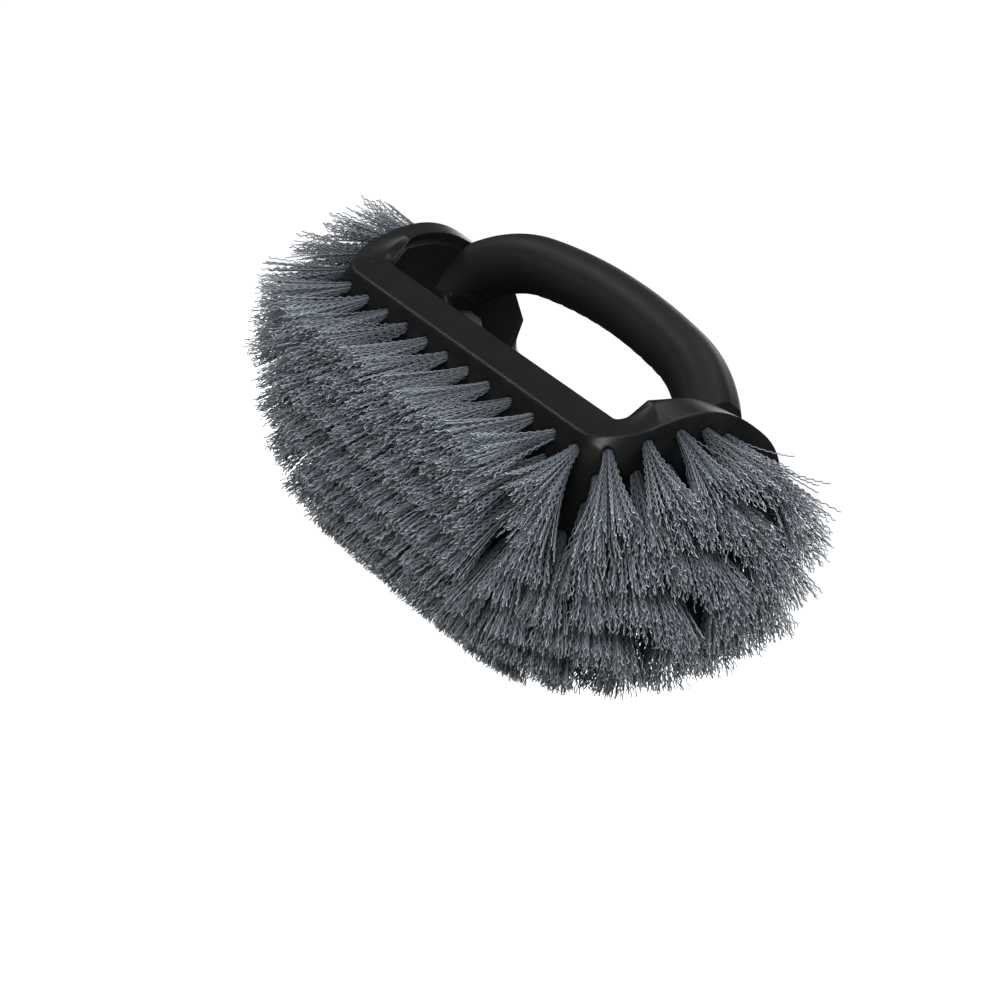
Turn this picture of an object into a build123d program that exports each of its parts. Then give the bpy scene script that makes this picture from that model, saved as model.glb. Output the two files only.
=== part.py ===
"""Hand brush for washing wheels: a bristle block with raised ends, bridged by a soft-grip handle.

Frame: millimetres, +Z up, origin on the ground under the middle of the brush, +X along the block.
The brush stands on its trimmed bottom tufts, with the handle on top.
"""

import os
from math import asin, cos, pi, radians, sin

from build123d import *

# Block: plan outline and heights
half_length = 87.2
half_width = 53.0
end_bulge = 4.5  # how far the end arc runs past the rail's end
corner_radius = 16.0
deck_z = 98.0  # top of the long rails above the ground
hull_bottom_z = 33.0
wall_base_drop = 11.0  # the outer walls are upright down to this far below the deck
lobe_height = 24.5  # rise of the rim in the middle of each end
lobe_shoulder = 0.75  # share of the half width where the rise turns from hollow to round
lobe_slope = 1.82  # steepness of the rise outside the shoulder
lobe_power = 2.6  # roundness of the rise inside the shoulder
band_width = 9.5  # bevelled band between the rim and the ridge below it
band_overlap = 0.5  # the band is cut this far past the rim
rim_reach = 15.2  # the rim is cut level this far in, past the wall of the tray
rail_band_drop = 9.7
end_band_drop = -1.0

# Tray inside the rim
rim_inset = 10.6
wall_inset = 13.0
ledge_depth = 4.0
tray_depth = 10.0
tray_edge_radius = 3.0
tray_corner_radius = 5.0

# Handle
grip_thickness = 21.6
grip_width = 23.0
core_thickness = 13.0
core_width = 15.0
handle_top_z = deck_z + 46.8
top_arc_radius = 240.0
shoulder_radius = 52.0
shoulder_x = 31.8
sleeve_end_z = deck_z + 1.5
foot_width = 25.0
foot_inner_x = 60.0
foot_top_z = deck_z + 2.5
foot_slope_height = 4.0
foot_slope_length = 6.0
foot_edge_radius = 2.0
post_inner_x = 68.0
post_top_z = deck_z + 24.0
wall_gap = 0.15
rib_pitch = 8.0
rib_depth = 0.7
rib_radius = 6.0
rib_length = 18.0

# Handle screws, one through each raised end
screw_z = deck_z + 16.8
screw_diameter = 2.9
screw_length = 14.0
head_diameter = 4.8
head_height = 2.0
access_diameter = 5.2
access_depth = 8.0
socket_diameter = 2.4
socket_depth = 1.2
pilot_diameter = 2.9

# Tufts and their wire anchors
tuft_diameter = 4.4
hole_diameter = 4.6
hole_depth = 12.0
root_gap = 0.4  # between a tuft's root and the bottom of its hole
tuft_length = 34.0  # outside the block, before the lowest tufts are trimmed level with the ground
tip_diameter = 8.6
tuft_pitch = 12.9  # on the rails
end_crowding = 1.33  # how many times closer the tufts stand round the ends
anchor_thickness = 0.6
anchor_height = 2.2
anchor_clearance = 0.1
turn_start = 62.0  # |x| on the outline where the tufts begin to turn towards the end
turn_end = 84.0  # |x| on the outline where they point along the block
end_fan = 10.0  # degrees by which the outermost tufts of an end still fan out

# One entry for each ring of tufts, from the rim down: inset from the plan outline, height of the
# roots on the rails, how much higher they are at the ends, and the tuft's tilt below the horizontal
# on the rails and at the ends.
tuft_rings = [
    (1.0, deck_z - 16.7, 33.7, 42.0, 8.0),
    (2.5, deck_z - 26.8, 29.5, 50.0, 18.0),
    (6.0, deck_z - 36.6, 25.5, 58.0, 28.0),
    (13.0, deck_z - 46.5, 21.0, 66.0, 38.0),
    (21.0, deck_z - 54.5, 14.0, 73.0, 50.0),
    (31.0, deck_z - 60.5, 7.0, 80.0, 63.0),
    (41.0, deck_z - 65.0, 0.0, 87.0, 76.0),
]
keel_half_length = 36.0
keel_fan_height = 300.0  # the keel's tufts lean away from a point this far above their roots

# Sections of the block below its upright walls: inset from the plan outline, height
hull_sections = [
    (0.0, deck_z - wall_base_drop),
    (4.0, deck_z - 27.0),
    (12.0, deck_z - 43.0),
    (24.0, deck_z - 57.0),
    (40.0, hull_bottom_z),
]

far = 300.0  # larger than anything in the model
ring_steps = 400  # how finely a closed outline is measured
arc_samples = 13  # points along each curved edge of the band


def rail_end(inset):
    """|x| where the straight rail would meet the end arc."""
    return half_length - inset - end_bulge * (half_width - inset) / half_width


def plan_sketch(inset, radius=None):
    """Closed plan outline: two straight rails, an arc at each end, rounded corners."""
    width = half_width - inset
    length = half_length - inset
    rail = rail_end(inset)
    with BuildSketch() as sketch:
        with BuildLine():
            Line((-rail, -width), (rail, -width))
            ThreePointArc((rail, -width), (length, 0), (rail, width))
            Line((rail, width), (-rail, width))
            ThreePointArc((-rail, width), (-length, 0), (-rail, -width))
        make_face()
        fillet(sketch.vertices(), radius or corner_radius * width / half_width)
    return sketch.sketch


def smooth_step(value, start, end):
    """0 below start, 1 above end, a cosine between them."""
    share = min(max((value - start) / (end - start), 0.0), 1.0)
    return (1 - cos(pi * share)) / 2


def climb_at(point, inset):
    """Rise of the rim at a point of a plan outline: 0 on the rails, 1 in the middle of an end."""
    share = min(abs(point.Y) / (half_width - inset), 1.0)
    if share > lobe_shoulder:
        return lobe_slope * (1 - share)
    return 1 - (1 - lobe_slope * (1 - lobe_shoulder)) * (share / lobe_shoulder) ** lobe_power


def band_height(climb, inset):
    """Height of the bevelled band, which rises from the ridge on the outline to the rim."""
    drop = rail_band_drop + (end_band_drop - rail_band_drop) * climb
    return deck_z + lobe_height * climb - drop * (1 - inset / band_width)


def rim_height(climb, inset):
    """Height of the rim, level across its width."""
    return deck_z + lobe_height * climb


def ledge_height(climb, inset):
    """Height of the ledge inside the rim, level across its width."""
    return rim_height(climb, inset) - ledge_depth


def strips_above(outer_inset, inner_inset, height):
    """Solids above ruled strips between two insets, one for each edge of the plan outline."""
    strips = []
    for edge in plan_sketch(0).edges():
        samples = 2 if edge.geom_type == GeomType.LINE else arc_samples
        curves = []
        for inset in (inner_inset, outer_inset):
            points = []
            for index in range(samples):
                point = edge @ (index / (samples - 1))
                tangent = edge % (index / (samples - 1))
                inward = Vector(-tangent.Y, tangent.X, 0)
                if inward.dot(point) > 0:
                    inward = inward * -1
                points.append(point + inward * inset + Vector(0, 0, height(climb_at(point, 0), inset)))
            curves.append(Edge.make_line(*points) if samples == 2 else Edge.make_spline(points))
        face = Face.make_surface_from_curves(*curves)
        strips.append(Solid.extrude(face, Vector(0, 0, far)))
    return strips


def hull_blank():
    """The block before the tray, the tuft holes and the screw holes are cut."""
    with BuildPart() as hull:
        with BuildSketch(Plane.XY.offset(deck_z - wall_base_drop)):
            add(plan_sketch(0))
        extrude(amount=lobe_height + 2 * wall_base_drop)
        for strip in strips_above(-band_width / 2, band_width + band_overlap, band_height):
            add(strip, mode=Mode.SUBTRACT)
        for strip in strips_above(band_width, rim_reach, rim_height):
            add(strip, mode=Mode.SUBTRACT)
        for inset, z in hull_sections:
            with BuildSketch(Plane.XY.offset(z)):
                add(plan_sketch(inset))
        loft()
    return hull.part


def tuft_planes(hull):
    """For each ring, the planes where its tufts leave the hull, each with its Z along the tuft."""
    rings = []
    for number, (inset, rail_z, lift, rail_tilt, end_tilt) in enumerate(tuft_rings):
        planes = []
        for point in ring_points(inset, 0.5 * (number % 2)):
            if number == 0 and abs(point.Y) < tuft_pitch / 3:
                continue
            climb = climb_at(point, inset)
            tilt = radians(rail_tilt + (end_tilt - rail_tilt) * climb)
            turn = smooth_step(abs(point.X), turn_start - inset, turn_end - inset)
            fan = end_fan * abs(point.Y) / (half_width - inset)
            bearing = radians(90 * (1 - turn) + fan * turn)
            side_x = 1 if point.X > 0 else -1
            side_y = 1 if point.Y > 0 else -1
            outward = Vector(side_x * cos(bearing), side_y * sin(bearing), 0)
            direction = outward * cos(tilt) - Vector(0, 0, sin(tilt))
            seed = Vector(point.X, point.Y, rail_z + lift * climb)
            planes.append(surface_plane(hull, seed, direction))
        rings.append(planes)
    keel = []
    keel_count = 1 + round(2 * keel_half_length / tuft_pitch)
    for index in range(keel_count):
        x = -keel_half_length + 2 * keel_half_length * index / (keel_count - 1)
        direction = Vector(x, 0, -keel_fan_height).normalized()
        keel.append(surface_plane(hull, Vector(x, 0, hull_bottom_z), direction))
    rings.append(keel)
    return rings


def ring_points(inset, offset):
    """Points round a plan outline, closer together round the ends, from its rightmost point on."""
    outline = plan_sketch(inset).wire()
    shares = [step / ring_steps for step in range(ring_steps)]
    start = max(shares, key=lambda share_along: (outline @ share_along).X)
    walked = [0.0]
    for share_along in shares:
        x = abs((outline @ ((start + share_along) % 1.0)).X)
        crowding = 1 + (end_crowding - 1) * smooth_step(x, turn_start - inset, turn_end - inset)
        walked.append(walked[-1] + crowding * outline.length / ring_steps)
    count = 2 * round(walked[-1] / tuft_pitch / 2)
    points = []
    for index in range(count):
        target = (index + offset) * walked[-1] / count
        step = max(number for number, length in enumerate(walked) if length <= target)
        part = (target - walked[step]) / (walked[step + 1] - walked[step])
        points.append(outline @ ((start + (step + part) / ring_steps) % 1.0))
    return points


def surface_plane(hull, seed, direction):
    """Plane on the hull's surface, on the line through seed along direction."""
    line = Axis(seed - direction * 2 * hole_depth, direction)
    hits = [point for point, normal in hull.find_intersection_points(line)]
    surface = max(hits, key=lambda point: (point - seed).dot(direction))
    side = Vector(0, 0, 1).cross(direction)
    if side.length < 0.2:
        side = Vector(0, 1, 0)
    return Plane(origin=surface, x_dir=side, z_dir=direction)


def tuft_row(name, planes):
    """A ring of tufts: each a round root in its hole and a flared bundle outside it."""
    with BuildPart() as row:
        with Locations(*planes):
            Cylinder(
                tuft_diameter / 2,
                hole_depth - root_gap,
                align=(Align.CENTER, Align.CENTER, Align.MAX),
            )
            Cone(
                tuft_diameter / 2,
                tip_diameter / 2,
                tuft_length,
                align=(Align.CENTER, Align.CENTER, Align.MIN),
            )
        with Locations(*[plane.offset(root_gap - hole_depth) for plane in planes]):
            Box(
                hole_diameter,
                anchor_thickness + 2 * anchor_clearance,
                anchor_height + anchor_clearance,
                align=(Align.CENTER, Align.CENTER, Align.MIN),
                mode=Mode.SUBTRACT,
            )
        if row.part.bounding_box().min.Z < 0:
            split(bisect_by=Plane.XY, keep=Keep.TOP)
    finish(row.part, name)


def anchor_row(name, planes):
    """A ring of flat wire anchors, one across the root of each tuft."""
    with BuildPart() as row:
        with Locations(*[plane.offset(root_gap - hole_depth) for plane in planes]):
            Box(
                tuft_diameter - anchor_clearance,
                anchor_thickness,
                anchor_height,
                align=(Align.CENTER, Align.CENTER, Align.MIN),
            )
    finish(row.part, name)


def screw_planes():
    """Planes at the seats of the two handle screws, Z pointing out of the block."""
    seat_x = half_length - access_depth
    return [
        Plane(origin=(side * seat_x, 0, screw_z), x_dir=(0, 1, 0), z_dir=(side, 0, 0)) for side in (-1, 1)
    ]


def block(hull, rings):
    """Block with its tray, stepped ledge, tuft holes and screw holes."""
    with BuildPart() as body:
        add(hull)
        add(tray_space(wall_inset), mode=Mode.SUBTRACT)
        add(ledge_cutter(), mode=Mode.SUBTRACT)
        for planes in rings:
            with Locations(*planes):
                Cylinder(
                    hole_diameter / 2,
                    2 * hole_depth,
                    align=(Align.CENTER, Align.CENTER, Align.CENTER),
                    mode=Mode.SUBTRACT,
                )
        with Locations(*screw_planes()):
            Cylinder(screw_diameter / 2 + 0.2, 2 * wall_inset, mode=Mode.SUBTRACT)
            Cylinder(
                access_diameter / 2,
                2 * access_depth,
                align=(Align.CENTER, Align.CENTER, Align.MIN),
                mode=Mode.SUBTRACT,
            )
    finish(body.part, "block")


def tray_space(inset):
    """The space inside the rim, with a rounded edge round its floor."""
    with BuildPart() as space:
        with BuildSketch(Plane.XY.offset(deck_z - tray_depth)):
            add(plan_sketch(inset, tray_corner_radius))
        extrude(amount=far)
        fillet(space.faces().sort_by(Axis.Z)[0].edges(), tray_edge_radius)
    return space.part


def ledge_cutter():
    """Recess just inside the rim, down to a ledge that follows the rim."""
    with BuildPart() as recess:
        for strip in strips_above(band_width, rim_reach, ledge_height):
            add(strip)
        with BuildSketch(Plane.XY.offset(deck_z - tray_depth)):
            add(plan_sketch(rim_inset))
        extrude(amount=far, mode=Mode.INTERSECT)
    return recess.part


def handle_path():
    """Middle line of the handle: a long top arc and two shoulder arcs down into the tray."""
    middle_z = handle_top_z - grip_thickness / 2
    shoulder_z = middle_z - top_arc_radius + ((top_arc_radius - shoulder_radius) ** 2 - shoulder_x**2) ** 0.5
    lean = asin(shoulder_x / (top_arc_radius - shoulder_radius))
    join_x = top_arc_radius * sin(lean)
    join_z = middle_z - top_arc_radius * (1 - cos(lean))
    foot_turn = asin((sleeve_end_z - shoulder_z) / shoulder_radius)
    half_turn = (pi / 2 - lean + foot_turn) / 2
    foot = (shoulder_x + shoulder_radius * cos(foot_turn), shoulder_z + shoulder_radius * sin(foot_turn))
    bend = (shoulder_x + shoulder_radius * cos(half_turn), shoulder_z + shoulder_radius * sin(half_turn))
    with BuildLine(Plane.XZ) as path:
        ThreePointArc((-foot[0], foot[1]), (-bend[0], bend[1]), (-join_x, join_z))
        ThreePointArc((-join_x, join_z), (0, middle_z), (join_x, join_z))
        ThreePointArc((join_x, join_z), bend, foot)
    return path.wires()[0]


def bar_along(path, thickness, width):
    """Rounded bar swept along the handle's middle line."""
    start = Plane(origin=path @ 0, x_dir=(0, 1, 0), z_dir=path % 0)
    with BuildPart() as bar:
        with BuildSketch(start):
            RectangleRounded(width, thickness, 0.44 * min(width, thickness))
        sweep(path=path)
        add(tray_space(wall_inset + wall_gap), mode=Mode.INTERSECT)
    return bar.part


def foot_block():
    """Both feet: blocks in the tray, flush with the end walls, each with a post up into the grip."""
    floor_z = deck_z - tray_depth
    with BuildPart() as feet:
        with BuildSketch(Plane.XZ):
            for side in (-1, 1):
                with BuildLine():
                    Polyline(
                        (side * foot_inner_x, floor_z),
                        (side * half_length, floor_z),
                        (side * half_length, foot_top_z),
                        (side * (foot_inner_x + foot_slope_length), foot_top_z),
                        (side * foot_inner_x, foot_top_z - foot_slope_height),
                        close=True,
                    )
                make_face()
        extrude(amount=foot_width / 2, both=True)
        fillet(feet.faces().filter_by(Axis.Y).edges().filter_by(is_foot_side), foot_edge_radius)
        for side in (-1, 1):
            with Locations((side * (post_inner_x + half_length) / 2, 0, floor_z)):
                Box(
                    half_length - post_inner_x,
                    core_width,
                    post_top_z - floor_z,
                    align=(Align.CENTER, Align.CENTER, Align.MIN),
                )
        add(tray_space(wall_inset + wall_gap), mode=Mode.INTERSECT)
    return feet.part


def is_foot_side(edge):
    """Whether an edge of a foot's side faces the hand opening or the top, not the floor or the wall."""
    middle = edge.center()
    return middle.Z > deck_z - tray_depth + 1 and abs(middle.X) < half_length - 1


def handle_core(bar, feet):
    """Rigid core: the bar inside the grip, the two feet and their screw pilots."""
    with BuildPart() as core:
        add(bar)
        add(feet)
        with Locations(*[plane.offset(-access_depth) for plane in screw_planes()]):
            Cylinder(pilot_diameter / 2, 2 * screw_length, mode=Mode.SUBTRACT)
    finish(core.part, "handle_core")


def grip_sleeve(outer, bar, feet, path):
    """Soft sleeve over the bar, with shallow finger ribs along its underside."""
    with BuildPart() as sleeve:
        add(outer)
        add(bar, mode=Mode.SUBTRACT)
        add(feet, mode=Mode.SUBTRACT)
        count = round(path.length / rib_pitch)
        for index in range(1, count):
            point = path @ (index / count)
            inward = inward_from(path, index / count)
            centre = point + inward * (grip_thickness / 2 + rib_radius - rib_depth)
            with Locations(Plane(origin=centre, x_dir=inward, z_dir=(0, 1, 0))):
                Cylinder(rib_radius, rib_length, mode=Mode.SUBTRACT)
    finish(sleeve.part, "grip_sleeve")


def inward_from(path, share_along):
    """Unit vector square to the handle's middle line, towards the hand opening."""
    tangent = path % share_along
    return Vector(tangent.Z, 0, -tangent.X)


def handle_screws():
    """The two pan-head screws that hold the handle, one at each end."""
    with BuildPart() as screws:
        for plane in screw_planes():
            with Locations(plane):
                Cylinder(screw_diameter / 2, screw_length, align=(Align.CENTER, Align.CENTER, Align.MAX))
                Cylinder(head_diameter / 2, head_height, align=(Align.CENTER, Align.CENTER, Align.MIN))
            head = screws.faces().sort_by(Axis.X)[-1 if plane.z_dir.X > 0 else 0]
            chamfer(head.edges(), 0.4)
            with BuildSketch(plane.offset(head_height)):
                RegularPolygon(socket_diameter / 2, 6)
            extrude(amount=-socket_depth, mode=Mode.SUBTRACT)
    finish(screws.part, "handle_screws")


def finish(piece, name):
    """Label a piece and write its STEP file."""
    piece.label = name
    export_step(piece, f"parts/{name}.step")


def main():
    os.makedirs("parts", exist_ok=True)
    hull = hull_blank()
    rings = tuft_planes(hull)
    block(hull, rings)
    for number, planes in enumerate(rings, start=1):
        tuft_row(f"tufts_row_{number}", planes)
        anchor_row(f"anchors_row_{number}", planes)
    path = handle_path()
    bar = bar_along(path, core_thickness, core_width)
    feet = foot_block()
    handle_core(bar, feet)
    grip_sleeve(bar_along(path, grip_thickness, grip_width), bar, feet, path)
    handle_screws()


main()
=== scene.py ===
"""Wheel brush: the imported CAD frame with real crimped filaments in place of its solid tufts.

Metres, +Z up, +X along the block. The brush stands on the floor on its trimmed bottom tufts.
"""

import math

import bmesh
import bpy
import numpy as np
from mathutils import Matrix, Vector


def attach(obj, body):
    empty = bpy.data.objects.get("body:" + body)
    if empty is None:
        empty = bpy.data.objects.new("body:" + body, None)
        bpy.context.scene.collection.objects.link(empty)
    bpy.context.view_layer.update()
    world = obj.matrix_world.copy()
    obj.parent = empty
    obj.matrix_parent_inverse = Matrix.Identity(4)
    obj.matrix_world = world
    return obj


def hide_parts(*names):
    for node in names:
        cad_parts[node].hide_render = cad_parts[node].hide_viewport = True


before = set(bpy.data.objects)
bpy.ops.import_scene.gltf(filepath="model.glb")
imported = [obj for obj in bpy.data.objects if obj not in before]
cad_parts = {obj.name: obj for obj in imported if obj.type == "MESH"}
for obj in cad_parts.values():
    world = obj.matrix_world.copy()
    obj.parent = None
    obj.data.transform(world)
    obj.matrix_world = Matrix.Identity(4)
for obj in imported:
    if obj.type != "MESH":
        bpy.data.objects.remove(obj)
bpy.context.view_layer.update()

MM = 0.001
SEED = 41

# Tufts
ROWS = 8
WELD_DISTANCE = 0.02 * MM  # joins the split corners of an anchor's faces
STEEP = 0.35  # downward share of an axis from which a tuft is known to point down
ROOT_GAP = 0.4 * MM  # from the bottom of a hole to the root of its tuft
HOLE_DEPTH = 12.0 * MM
ROW_LENGTHS = [33.0 * MM] * 6 + [34.5 * MM] * 2
BUNDLE_RADIUS = 1.95 * MM
START_DEPTH = 3.0 * MM  # filaments start this far inside their hole
SPREAD = 6.3  # mm by which a bundle's outermost filaments splay at their tips
SPREAD_CURVE = 1.25
SPREAD_VARIES = 1.0
TUFT_SPREAD_VARIES = 0.35
LEAN_VARIES = 0.9  # mm by which a whole tuft leans aside at its tip

# Filaments
FILAMENTS = 56
FILAMENT_RADIUS = 0.24 * MM
SIDES = 3
GOLDEN_ANGLE = 2.39996
ANGLE_VARIES = 0.1
DRIFT = 1.1  # mm by which a filament wanders aside at its tip
CUT_VARIES = 0.75  # mm
WORN_AWAY = 0.5  # mm
ROUNDED_OFF = 0.6 * MM  # how much shorter a bundle's outermost filaments are cut
SINK_DIVISOR = 5
THICKNESS_VARIES = 0.12
CRIMP_PERIOD = 3.4 * MM
CRIMP_HEIGHT = 0.47 * MM
CRIMP_TURN_VARIES = 0.8
CRIMP_PHASE_VARIES = 1.0
CRIMP_AT_ROOT = 0.25
CRIMP_GROWTH = 4
POINTS_PER_PERIOD = 3
TRIM_PASSES = 3
MAX_TRIANGLES = 190000  # in one piece
COLOURS = 16
COLOUR_MARGIN = 0.15  # on each side of a colour strip
COLOUR_WIDTH = 0.7
STRAY_SHARE = 0.03
STRAY_SPREAD = (1.0, 3.0)  # mm added to a stray filament's spread
STRAY_DRIFT = (0.5, 2.5)  # mm added to its drift
END_X = 66.0 * MM  # beyond this the tufts fan out round the ends
END_SPREAD = 1.22


def anchor_frames(node):
    """Root and direction of each tuft, from the wire anchor across it: [(origin, axis, side)]."""
    mesh = bmesh.new()
    mesh.from_mesh(node.data)
    bmesh.ops.remove_doubles(mesh, verts=mesh.verts, dist=WELD_DISTANCE)
    seen = set()
    frames = []
    for first in mesh.verts:
        if first in seen:
            continue
        corners = []
        queue = [first]
        seen.add(first)
        while queue:
            vert = queue.pop()
            corners.append(vert.co.copy())
            for edge in vert.link_edges:
                other = edge.other_vert(vert)
                if other not in seen:
                    seen.add(other)
                    queue.append(other)
        frames.append(frame_of_anchor(corners))
    mesh.free()
    return frames


def frame_of_anchor(corners):
    """Origin on the block's surface, axis out of the block, side along the anchor's long edge."""
    centre = sum(corners, Vector()) / len(corners)
    spans = sorted(((corner - corners[0]) for corner in corners[1:]), key=lambda span: span.length)
    height = spans[1]  # the shortest edge is the wire's thickness, the next its height
    side = spans[3] if len(spans) > 3 else spans[-1]
    axis = height.normalized()
    side = (side - axis * side.dot(axis)).normalized()
    steep = abs(axis.z) > STEEP  # steep tufts point down, and the others away from the middle
    if axis.z > 0 if steep else centre.x * axis.x + centre.y * axis.y < 0:
        axis = -axis
    origin = centre - axis * height.length / 2 + axis * (HOLE_DEPTH - ROOT_GAP)
    return origin, axis, side


def centre_lines(frames, length, rng):
    """Points along every filament of these tufts, and the normal of its crimp's plane.

    Their shapes are (filaments, points, 3) and (filaments, 3).
    """
    tufts = len(frames)
    count = tufts * FILAMENTS
    origin = np.repeat(np.array([f[0] for f in frames]), FILAMENTS, axis=0)
    axis = np.repeat(np.array([f[1] for f in frames]), FILAMENTS, axis=0)
    side = np.repeat(np.array([f[2] for f in frames]), FILAMENTS, axis=0)
    up = np.cross(axis, side)
    index = np.tile(np.arange(FILAMENTS), tufts)
    spin = np.repeat(rng.uniform(0, 2 * math.pi, tufts), FILAMENTS)
    share = np.sqrt((index + 0.5) / FILAMENTS)
    angle = index * GOLDEN_ANGLE + spin + rng.normal(0, ANGLE_VARIES, count)
    radial = side * np.cos(angle)[:, None] + up * np.sin(angle)[:, None]
    stray = rng.random(count) < STRAY_SHARE
    spread_mm = SPREAD + rng.normal(0, SPREAD_VARIES, count)
    spread = (spread_mm + stray * rng.uniform(*STRAY_SPREAD, count)) * MM * share
    spread += np.repeat(rng.normal(0, TUFT_SPREAD_VARIES, tufts), FILAMENTS) * MM
    spread *= np.where(np.abs(origin[:, 0]) > END_X, END_SPREAD, 1.0)
    drift_angle = rng.uniform(0, 2 * math.pi, count)
    drift = (np.abs(rng.normal(0, DRIFT, count)) + stray * rng.uniform(*STRAY_DRIFT, count)) * MM
    drift_way = side * np.cos(drift_angle)[:, None] + up * np.sin(drift_angle)[:, None]
    drift_vector = drift_way * drift[:, None]
    tuft_lean = np.repeat(rng.normal(0, LEAN_VARIES, (tufts, 2)), FILAMENTS, axis=0) * MM
    lean_vector = side * tuft_lean[:, :1] + up * tuft_lean[:, 1:]
    reach = length + rng.normal(0, CUT_VARIES, count) * MM
    reach -= np.abs(rng.normal(0, WORN_AWAY, count)) * MM
    reach -= share**2 * ROUNDED_OFF
    crimp_turn = np.repeat(rng.uniform(0, 2 * math.pi, tufts), FILAMENTS)
    crimp_turn += rng.normal(0, CRIMP_TURN_VARIES, count)
    crimp = side * np.cos(crimp_turn)[:, None] + up * np.sin(crimp_turn)[:, None]
    flat = np.cross(axis, crimp)
    phase = np.repeat(rng.uniform(0, 2 * math.pi, tufts), FILAMENTS)
    phase += rng.normal(0, CRIMP_PHASE_VARIES, count)
    height = CRIMP_HEIGHT * rng.uniform(0.8, 1.2, count)
    points = 1 + int(round((length + START_DEPTH) / CRIMP_PERIOD * POINTS_PER_PERIOD))
    steps = np.linspace(0, 1, points)

    def line(reach):
        along = -START_DEPTH + steps[None, :] * (reach + START_DEPTH)[:, None]
        grown = np.clip(along / length, 0, 1.2)
        radius = BUNDLE_RADIUS * share[:, None] + spread[:, None] * grown**SPREAD_CURVE
        wave = np.sin(2 * math.pi * along / CRIMP_PERIOD + phase[:, None]) * height[:, None]
        wave *= np.clip(CRIMP_AT_ROOT + grown * CRIMP_GROWTH, 0, 1)
        sink = radius**2 / (SINK_DIVISOR * length)  # splayed filaments reach a little less far
        return (
            origin[:, None, :]
            + axis[:, None, :] * (along - sink)[:, :, None]
            + radial[:, None, :] * radius[:, :, None]
            + (drift_vector + lean_vector)[:, None, :] * (grown**2)[:, :, None]
            + crimp[:, None, :] * wave[:, :, None]
        )

    path = line(reach)
    for _ in range(TRIM_PASSES):  # trim what would pass through the ground
        below = path[:, :, 2] < FILAMENT_RADIUS
        hit = below.any(axis=1)
        first = np.where(hit, below.argmax(axis=1), points - 1)
        before = np.maximum(first - 1, 0)
        rows = np.arange(count)
        z0, z1 = path[rows, before, 2], path[rows, first, 2]
        part = np.where(hit, (z0 - FILAMENT_RADIUS) / np.maximum(z0 - z1, 1e-9), 1.0)
        cut = np.where(hit, (before + part) / (points - 1), 1.0)
        reach = -START_DEPTH + cut * (reach + START_DEPTH)
        path = line(reach)
    path[:, :, 2] = np.maximum(path[:, :, 2], FILAMENT_RADIUS)
    return path, flat


def filament_mesh(name, path, flat, rng):
    """Closed three-sided tubes along the paths, as one mesh with its own colour coordinates."""
    count, points, _ = path.shape
    tangent = np.gradient(path, axis=1)
    tangent /= np.linalg.norm(tangent, axis=2, keepdims=True)
    normal = flat[:, None, :] - tangent * (tangent * flat[:, None, :]).sum(2, keepdims=True)
    normal /= np.linalg.norm(normal, axis=2, keepdims=True)
    other = np.cross(tangent, normal)
    thick = rng.uniform(1 - THICKNESS_VARIES, 1 + THICKNESS_VARIES, count)[:, None, None]
    thick = FILAMENT_RADIUS * thick
    rings = [
        path + (normal * math.cos(turn) + other * math.sin(turn)) * thick
        for turn in (2 * math.pi * k / SIDES for k in range(SIDES))
    ]
    verts = np.stack(rings, axis=2).reshape(-1, 3)
    base = (np.arange(count) * points * SIDES)[:, None, None]
    ring = (np.arange(points - 1) * SIDES)[None, :, None]
    k = np.arange(SIDES)[None, None, :]
    nxt = (k + 1) % SIDES
    start = base + ring
    quads = np.stack([start + k, start + nxt, start + SIDES + nxt, start + SIDES + k], axis=3)
    quads = quads.reshape(-1, 4)
    first = base[:, 0, :] + np.arange(SIDES)[::-1][None, :]
    last = base[:, 0, :] + (points - 1) * SIDES + np.arange(SIDES)[None, :]
    caps = np.stack([first, last], axis=1).reshape(-1, SIDES)
    mesh = bpy.data.meshes.new(name)
    loops = np.concatenate([quads.ravel(), caps.ravel()])
    cap_starts = len(quads) * 4 + np.arange(len(caps)) * SIDES
    starts = np.concatenate([np.arange(len(quads)) * 4, cap_starts])
    mesh.vertices.add(len(verts))
    mesh.vertices.foreach_set("co", verts.astype(np.float32).ravel())
    mesh.loops.add(len(loops))
    mesh.loops.foreach_set("vertex_index", loops.astype(np.int32))
    mesh.polygons.add(len(starts))
    mesh.polygons.foreach_set("loop_start", starts.astype(np.int32))
    mesh.update(calc_edges=True)
    mesh.shade_smooth()
    colour = rng.integers(0, COLOURS, count)
    low_u = ((colour + COLOUR_MARGIN) / COLOURS)[:, None, None]
    span_u = COLOUR_WIDTH / COLOURS / SIDES
    u0, v0 = np.broadcast_arrays(low_u + span_u * k, ring / SIDES / (points - 1))
    v1 = v0 + 1 / (points - 1)
    quad_uv = np.stack(
        [
            np.stack([u0, v0], 3),
            np.stack([u0 + span_u, v0], 3),
            np.stack([u0 + span_u, v1], 3),
            np.stack([u0, v1], 3),
        ],
        axis=3,
    ).reshape(-1, 2)
    cap_u = np.array([0.1, 0.5, 0.9]) * COLOUR_WIDTH / COLOURS
    cap_v = np.array([[0.005, 0.01, 0.005], [0.99, 0.995, 0.99]])  # at the root, at the tip
    cap_uv = np.stack(np.broadcast_arrays(low_u + cap_u, cap_v), axis=3).reshape(-1, 2)
    layer = mesh.uv_layers.new(name="OFBake")
    layer.data.foreach_set("uv", np.concatenate([quad_uv, cap_uv]).astype(np.float32).ravel())
    mesh.validate()
    return mesh


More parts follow.
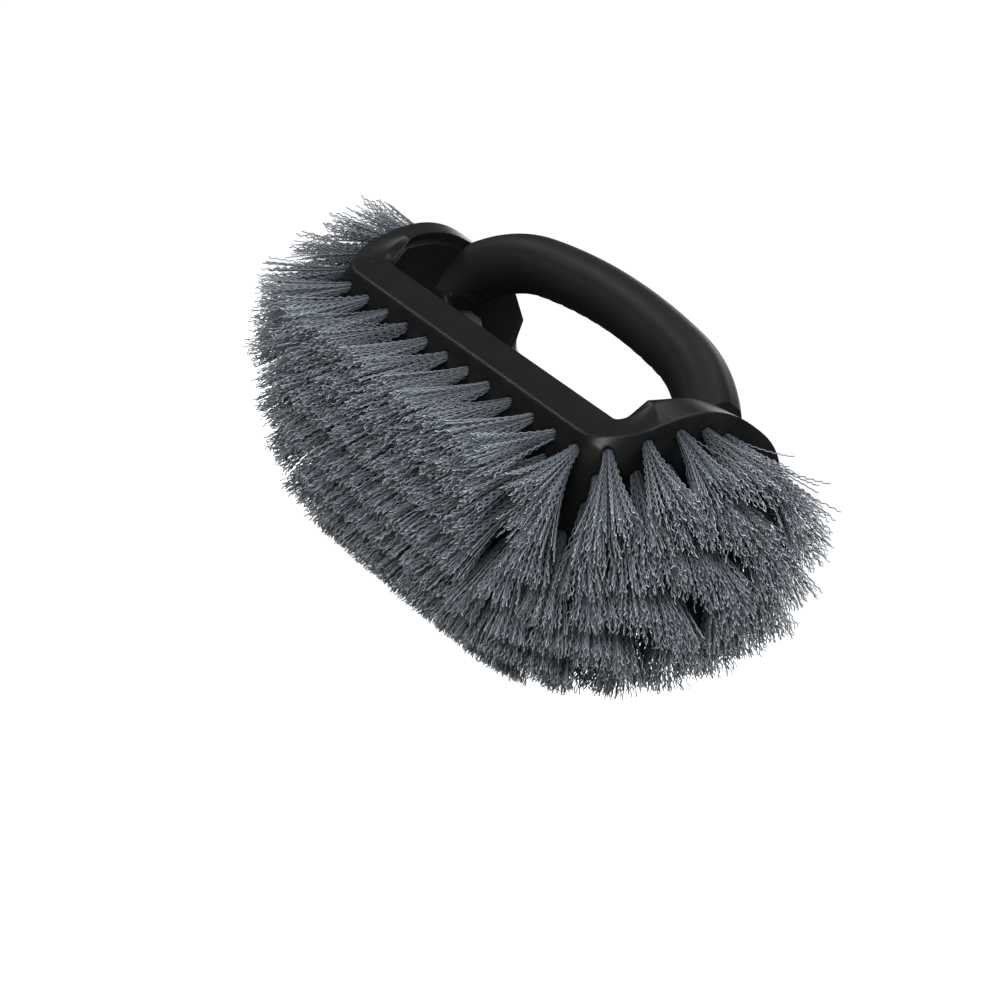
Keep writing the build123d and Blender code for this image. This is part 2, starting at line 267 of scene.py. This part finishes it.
def build_bristles(material):
    """One or more pieces of filaments for each row of tufts."""
    rng = np.random.default_rng(SEED)
    for row in range(1, ROWS + 1):
        frames = anchor_frames(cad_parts[f"anchors_row_{row}"])
        frames.sort(key=lambda f: round(math.atan2(f[0].y, f[0].x), 4))
        length = ROW_LENGTHS[row - 1]
        path, flat = centre_lines(frames, length, rng)
        triangles = len(path) * (path.shape[1] * SIDES * 2 + 2)
        parts = math.ceil(triangles / MAX_TRIANGLES)
        per_part = math.ceil(len(frames) / parts) * FILAMENTS
        for part in range(parts):
            name = f"bristles_{row}_{part + 1}"
            chosen = slice(part * per_part, (part + 1) * per_part)
            mesh = filament_mesh(name, path[chosen], flat[chosen], rng)
            mesh.materials.append(material)
            piece = bpy.data.objects.new(name, mesh)
            bpy.context.scene.collection.objects.link(piece)
            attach(piece, "root")
            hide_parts(f"tufts_row_{row}")


class Shader:
    """A small helper for building a material's nodes."""

    def __init__(self, name):
        self.material = bpy.data.materials.new(name)
        self.material.use_nodes = True
        self.nodes = self.material.node_tree.nodes
        self.links = self.material.node_tree.links
        self.bsdf = self.nodes["Principled BSDF"]

    def add(self, kind, **inputs):
        node = self.nodes.new(kind)
        for key, value in inputs.items():
            setattr(node, key, value)
        return node

    def link(self, source, target):
        self.links.new(source, target)

    def math(self, operation, a, b=0.0):
        node = self.add("ShaderNodeMath", operation=operation)
        for socket, value in zip(node.inputs, (a, b)):
            if isinstance(value, (int, float)):
                socket.default_value = value
            else:
                self.link(value, socket)
        return node.outputs[0]

    def noise(self, vector, scale, detail=2.0, roughness=0.5):
        node = self.add("ShaderNodeTexNoise")
        node.inputs["Scale"].default_value = scale
        node.inputs["Detail"].default_value = detail
        node.inputs["Roughness"].default_value = roughness
        self.link(vector, node.inputs["Vector"])
        return node.outputs["Fac"]

    def spread(self, source, low, high, from_low=0.0, from_high=1.0):
        node = self.add("ShaderNodeMapRange")
        node.inputs["From Min"].default_value = from_low
        node.inputs["From Max"].default_value = from_high
        node.inputs["To Min"].default_value = low
        node.inputs["To Max"].default_value = high
        self.link(source, node.inputs["Value"])
        return node.outputs["Result"]

    def mix(self, share, a, b, blend="MIX"):
        node = self.add("ShaderNodeMix", data_type="RGBA", blend_type=blend)
        factor, first, second = node.inputs[0], node.inputs[6], node.inputs[7]  # the colour sockets
        for socket, value in ((factor, share), (first, a), (second, b)):
            if isinstance(value, (int, float)):
                socket.default_value = value
            elif isinstance(value, tuple):
                socket.default_value = (*value, 1.0)
            else:
                self.link(value, socket)
        return node.outputs[2]

    def multiply(self, colour, tint):
        return self.mix(1.0, colour, tint, "MULTIPLY")

    def set(self, **values):
        """Sets the surface's sockets; an underscore stands for a space."""
        for name, value in values.items():
            self.bsdf.inputs[name.replace("_", " ")].default_value = value

    def soft_edges(self, radius):
        """Normals as if sharp edges were rounded off."""
        node = self.add("ShaderNodeBevel", samples=BEVEL_SAMPLES)
        node.inputs["Radius"].default_value = radius
        return node.outputs["Normal"]

    def bump(self, heights, last=None):
        """Chains bumps from (height, strength, distance in metres)."""
        for height, strength, distance in heights:
            node = self.add("ShaderNodeBump")
            node.inputs["Strength"].default_value = strength
            node.inputs["Distance"].default_value = distance
            self.link(height, node.inputs["Height"])
            if last is not None:
                self.link(last, node.inputs["Normal"])
            last = node.outputs["Normal"]
        self.link(last, self.bsdf.inputs["Normal"])


BEVEL_SAMPLES = 6
EDGE_RADIUS = 1.3 * MM  # as shaded, on the moulded plastics
CLOUD_LOW, CLOUD_HIGH = 0.3, 0.7  # the range of noise that the cloudiness uses

# Filament shades, and the painted shade, painted light and cut-end highlight they are multiplied by
# along a filament
DARK_SHADE = (0.048, 0.060, 0.074)
LIGHT_SHADE = (0.268, 0.304, 0.345)
GREY_SHADE = (0.205, 0.216, 0.220)
GREY_SHARE = 0.35
GREY_SEED = 37.5
# painted shade towards the root and painted light towards the tip
ROOT_PAINTED_SHADE = (0.38, 0.40, 0.42)
TIP_PAINTED_LIGHT = (1.42, 1.41, 1.40)
# painted highlight on the cut end
CUT_FACE_PAINTED_HIGHLIGHT = (2.3, 2.25, 2.2)
# between these shares the painted shade at the root turns into the painted light at the tip
PAINTED_GRADIENT_START, PAINTED_GRADIENT_END = 0.05, 0.95  # as shares of a filament's length
# between these shares the painted highlight on the cut end comes in
PAINTED_HIGHLIGHT_START, PAINTED_HIGHLIGHT_END = 0.965, 0.985


def bristle_material():
    """Grey-blue filament, a different shade for each colour strip, with painted shade at the root,
    painted light at the tip and a painted highlight on the cut end.
    """
    s = Shader("crimped_filament")
    uv = s.add("ShaderNodeUVMap", uv_map="OFBake")
    split = s.add("ShaderNodeSeparateXYZ")
    s.link(uv.outputs["UV"], split.inputs[0])
    strip = s.math("FLOOR", s.math("MULTIPLY", split.outputs["X"], float(COLOURS)))
    noise = s.add("ShaderNodeTexWhiteNoise", noise_dimensions="1D")
    s.link(strip, noise.inputs["W"])
    shade = s.mix(noise.outputs["Value"], DARK_SHADE, LIGHT_SHADE)
    tint_noise = s.add("ShaderNodeTexWhiteNoise", noise_dimensions="1D")
    s.link(s.math("ADD", strip, GREY_SEED), tint_noise.inputs["W"])
    shade = s.mix(s.spread(tint_noise.outputs["Value"], 0.0, GREY_SHARE), shade, GREY_SHADE)
    # painted shade at the root fading into painted light at the tip
    painted_light_share = s.spread(split.outputs["Y"], 0.0, 1.0, PAINTED_GRADIENT_START, PAINTED_GRADIENT_END)
    # cut masks the painted highlight on the cut ends
    cut = s.spread(split.outputs["Y"], 0.0, 1.0, PAINTED_HIGHLIGHT_START, PAINTED_HIGHLIGHT_END)
    painted_shade_and_light = s.mix(painted_light_share, s.multiply(shade, ROOT_PAINTED_SHADE), s.multiply(shade, TIP_PAINTED_LIGHT))
    colour = s.mix(cut, painted_shade_and_light, s.multiply(shade, CUT_FACE_PAINTED_HIGHLIGHT))
    s.link(colour, s.bsdf.inputs["Base Color"])
    s.set(Roughness=0.40, IOR=1.5, Specular_IOR_Level=0.5)
    return s.material


def plastic_material(name, colour, worn, roughness, grain_scale):
    """Moulded plastic with a fine spark-eroded grain, faint cloudiness and paler edges."""
    s = Shader(name)
    where = s.add("ShaderNodeTexCoord").outputs["Object"]
    cloud = s.noise(where, 35.0, 3.0)
    fine = s.noise(where, grain_scale, 3.0, 0.6)
    coarse = s.noise(where, grain_scale / 6, 2.0)
    pointed = s.add("ShaderNodeNewGeometry").outputs["Pointiness"]
    edge = s.spread(pointed, 0.0, 1.0, 0.52, 0.60)
    rub = s.math("MULTIPLY", edge, s.spread(s.noise(where, 120.0, 3.0), 0.0, 1.0, 0.35, 0.7))
    darker, lighter = (tuple(channel * k for channel in colour) for k in (0.95, 1.05))
    base = s.mix(s.spread(cloud, 0.0, 1.0, CLOUD_LOW, CLOUD_HIGH), darker, lighter)
    speck = s.mix(s.spread(fine, 0.0, 0.25, 0.55, 0.75), base, worn)
    s.link(s.mix(s.math("MULTIPLY", rub, 0.5), speck, worn), s.bsdf.inputs["Base Color"])
    cloudy = s.spread(cloud, roughness - 0.01, roughness + 0.01)
    s.link(s.math("ADD", cloudy, s.spread(fine, -0.05, 0.05)), s.bsdf.inputs["Roughness"])
    s.set(IOR=1.48, Specular_IOR_Level=0.30)
    s.bump([(fine, 0.14, 0.12 * MM), (coarse, 0.15, 0.2 * MM)], s.soft_edges(EDGE_RADIUS))
    return s.material


def rubber_material():
    """Soft-touch grip: nearly black, velvety, with a very fine texture."""
    s = Shader("soft_touch_grip")
    where = s.add("ShaderNodeTexCoord").outputs["Object"]
    cloud = s.noise(where, 45.0, 4.0)
    fine = s.noise(where, 2600.0, 2.0, 0.6)
    dust = s.noise(where, 700.0, 4.0, 0.7)
    clouding = s.spread(cloud, 0.0, 1.0, CLOUD_LOW, CLOUD_HIGH)
    base = s.mix(clouding, (0.0070, 0.0072, 0.0077), (0.0090, 0.0093, 0.0100))
    dusty = s.mix(s.spread(dust, 0.0, 0.3, 0.62, 0.8), base, (0.024, 0.0245, 0.026))
    s.link(dusty, s.bsdf.inputs["Base Color"])
    s.link(s.spread(cloud, 0.50, 0.58, CLOUD_LOW, CLOUD_HIGH), s.bsdf.inputs["Roughness"])
    s.set(IOR=1.45, Specular_IOR_Level=0.26)
    s.set(Sheen_Weight=0.02, Sheen_Roughness=0.4, Sheen_Tint=(0.72, 0.82, 1.0, 1.0))
    s.bump([(fine, 0.22, 0.08 * MM), (dust, 0.12, 0.15 * MM)])
    return s.material


def steel_material(name, colour, roughness, scale):
    """Drawn or turned steel: fine lines in the roughness and the surface."""
    s = Shader(name)
    where = s.add("ShaderNodeTexCoord").outputs["Object"]
    stretch = s.add("ShaderNodeMapping")
    stretch.inputs["Scale"].default_value = (1.0, 0.08, 1.0)
    s.link(where, stretch.inputs["Vector"])
    lines = s.noise(stretch.outputs["Vector"], scale, 2.0)
    s.link(s.mix(lines, tuple(c * 0.8 for c in colour), colour), s.bsdf.inputs["Base Color"])
    s.link(s.spread(lines, roughness - 0.08, roughness + 0.1), s.bsdf.inputs["Roughness"])
    s.set(Metallic=1.0)
    s.bump([(lines, 0.15, 0.03 * MM)])
    return s.material


BLOCK_COLOUR = (0.0048, 0.0048, 0.0050)
BLOCK_WORN = (0.018, 0.018, 0.019)
CORE_COLOUR = (0.0034, 0.0034, 0.0036)
CORE_WORN = (0.012, 0.012, 0.013)


def dress(node, material):
    """Gives a carried-over CAD node its material."""
    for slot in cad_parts[node].material_slots:
        slot.material = material


def dress_cad():
    """Materials for everything but the tufts, which are replaced."""
    dress("block", plastic_material("block_plastic", BLOCK_COLOUR, BLOCK_WORN, 0.36, 2000.0))
    dress("handle_core", plastic_material("handle_plastic", CORE_COLOUR, CORE_WORN, 0.42, 2400.0))
    dress("grip_sleeve", rubber_material())
    dress("handle_screws", steel_material("screw_steel", (0.50, 0.50, 0.51), 0.35, 3000.0))
    wire = steel_material("anchor_wire", (0.58, 0.57, 0.55), 0.4, 4000.0)
    for row in range(1, ROWS + 1):
        dress(f"anchors_row_{row}", wire)


# Camera: angles in degrees about the middle of the block's top, then how far that point lies from
# the middle of the picture, across and up, and from the camera
TARGET = Vector((0, 0, 98.0 * MM))
CAMERA_AZIMUTH = 42.7
CAMERA_ELEVATION = 3.0
CAMERA_ROLL = 34.8
CAMERA_SHIFT = (23.1 * MM, 43.3 * MM)
CAMERA_DISTANCE = 937.0 * MM
SENSOR = 36.0  # mm
PICTURE_WIDTH = 370.0 * MM  # what the picture spans at the target
FAR_LIMIT = 100


def place_camera():
    """Camera on the view of the brush that the looks were judged in."""
    angles = (CAMERA_AZIMUTH, CAMERA_ELEVATION, CAMERA_ROLL)
    azimuth, elevation, roll = (math.radians(angle) for angle in angles)
    right = Vector((math.cos(azimuth), math.sin(azimuth), 0))
    back = Vector(
        (
            math.sin(azimuth) * math.cos(elevation),
            -math.cos(azimuth) * math.cos(elevation),
            math.sin(elevation),
        )
    )
    up = back.cross(right)
    across = right * math.cos(roll) + up * math.sin(roll)
    rise = up * math.cos(roll) - right * math.sin(roll)
    spot = TARGET - across * CAMERA_SHIFT[0] - rise * CAMERA_SHIFT[1] + back * CAMERA_DISTANCE
    data = bpy.data.cameras.new("camera")
    data.sensor_width = SENSOR
    data.lens = SENSOR * CAMERA_DISTANCE / PICTURE_WIDTH
    data.clip_end = FAR_LIMIT
    camera = bpy.data.objects.new("camera", data)
    bpy.context.scene.collection.objects.link(camera)
    turn = Matrix((across, rise, back)).transposed().to_4x4()
    camera.matrix_world = Matrix.Translation(spot) @ turn
    bpy.context.scene.camera = camera


# Softboxes: name, direction from the brush, distance in metres, size in metres, watts, colour
WARM, COOL, WHITE = (1.0, 0.99, 0.98), (0.96, 0.98, 1.0), (1, 1, 1)
SOFTBOXES = [
    ("key", (0.95, -0.25, 0.75), 1.3, 0.5, 8.0, WARM),
    ("front", (0.70, -1.0, 0.45), 1.5, 0.7, 5.0, COOL),
    ("low", (0.45, -1.0, 0.08), 1.5, 0.5, 12.0, WHITE),
    ("ridge", (-0.68, -0.56, 0.50), 1.5, 0.35, 6.0, WHITE),
    ("top", (-0.1, -0.1, 1.0), 1.3, 0.7, 4.0, WHITE),
    ("rear", (-0.6, 0.9, 0.5), 1.5, 0.8, 6.0, COOL),
]
BACKGROUND_STRENGTH = 1.05  # as the camera sees it
ROOM_STRENGTH = 0.12  # as it lights the brush
FLOOR_GLOW = 0.95
FLOOR_RADIUS = 6.0


def softbox(name, direction, distance, size, watts, colour):
    """Square area light that faces the brush from a direction."""
    data = bpy.data.lights.new(name, "AREA")
    data.shape = "SQUARE"
    data.size = size
    data.energy = watts
    data.color = colour
    light = bpy.data.objects.new(name, data)
    direction = Vector(direction).normalized()
    light.location = TARGET + direction * distance
    light.rotation_mode = "QUATERNION"
    light.rotation_quaternion = direction.to_track_quat("Z", "Y")
    bpy.context.scene.collection.objects.link(light)


def studio():
    """White floor and background, with soft light from several sides."""
    world = bpy.data.worlds.new("studio")
    bpy.context.scene.world = world
    world.use_nodes = True
    nodes, links = world.node_tree.nodes, world.node_tree.links
    nodes.clear()
    out = nodes.new("ShaderNodeOutputWorld")
    mix = nodes.new("ShaderNodeMixShader")
    seen = nodes.new("ShaderNodeBackground")
    lit = nodes.new("ShaderNodeBackground")
    seen.inputs["Strength"].default_value = BACKGROUND_STRENGTH
    lit.inputs["Strength"].default_value = ROOM_STRENGTH
    lit.inputs["Color"].default_value = (0.93, 0.96, 1.0, 1)
    seen.inputs["Color"].default_value = (1, 1, 1, 1)
    links.new(nodes.new("ShaderNodeLightPath").outputs["Is Camera Ray"], mix.inputs[0])
    links.new(lit.outputs[0], mix.inputs[1])
    links.new(seen.outputs[0], mix.inputs[2])
    links.new(mix.outputs[0], out.inputs["Surface"])

    for box in SOFTBOXES:
        softbox(*box)

    bpy.ops.mesh.primitive_circle_add(
        vertices=96, radius=FLOOR_RADIUS, fill_type="NGON", location=(0, 0, 0)
    )
    floor = bpy.context.object
    floor.name = "floor"
    s = Shader("floor")
    where = s.add("ShaderNodeTexCoord").outputs["Object"]
    paper = s.mix(s.noise(where, 3.0), (0.90, 0.90, 0.90), (0.93, 0.93, 0.93))
    s.link(paper, s.bsdf.inputs["Base Color"])
    s.set(Roughness=0.9, Specular_IOR_Level=0.1)
    s.set(Emission_Color=(1, 1, 1, 1), Emission_Strength=FLOOR_GLOW)
    floor.data.materials.append(s.material)
    floor.visible_diffuse = False  # it whitens the picture without lighting the brush
    floor.visible_glossy = False


bpy.context.scene.view_settings.view_transform = "Standard"
bpy.context.scene.view_settings.look = "None"
place_camera()
studio()
dress_cad()
build_bristles(bristle_material())
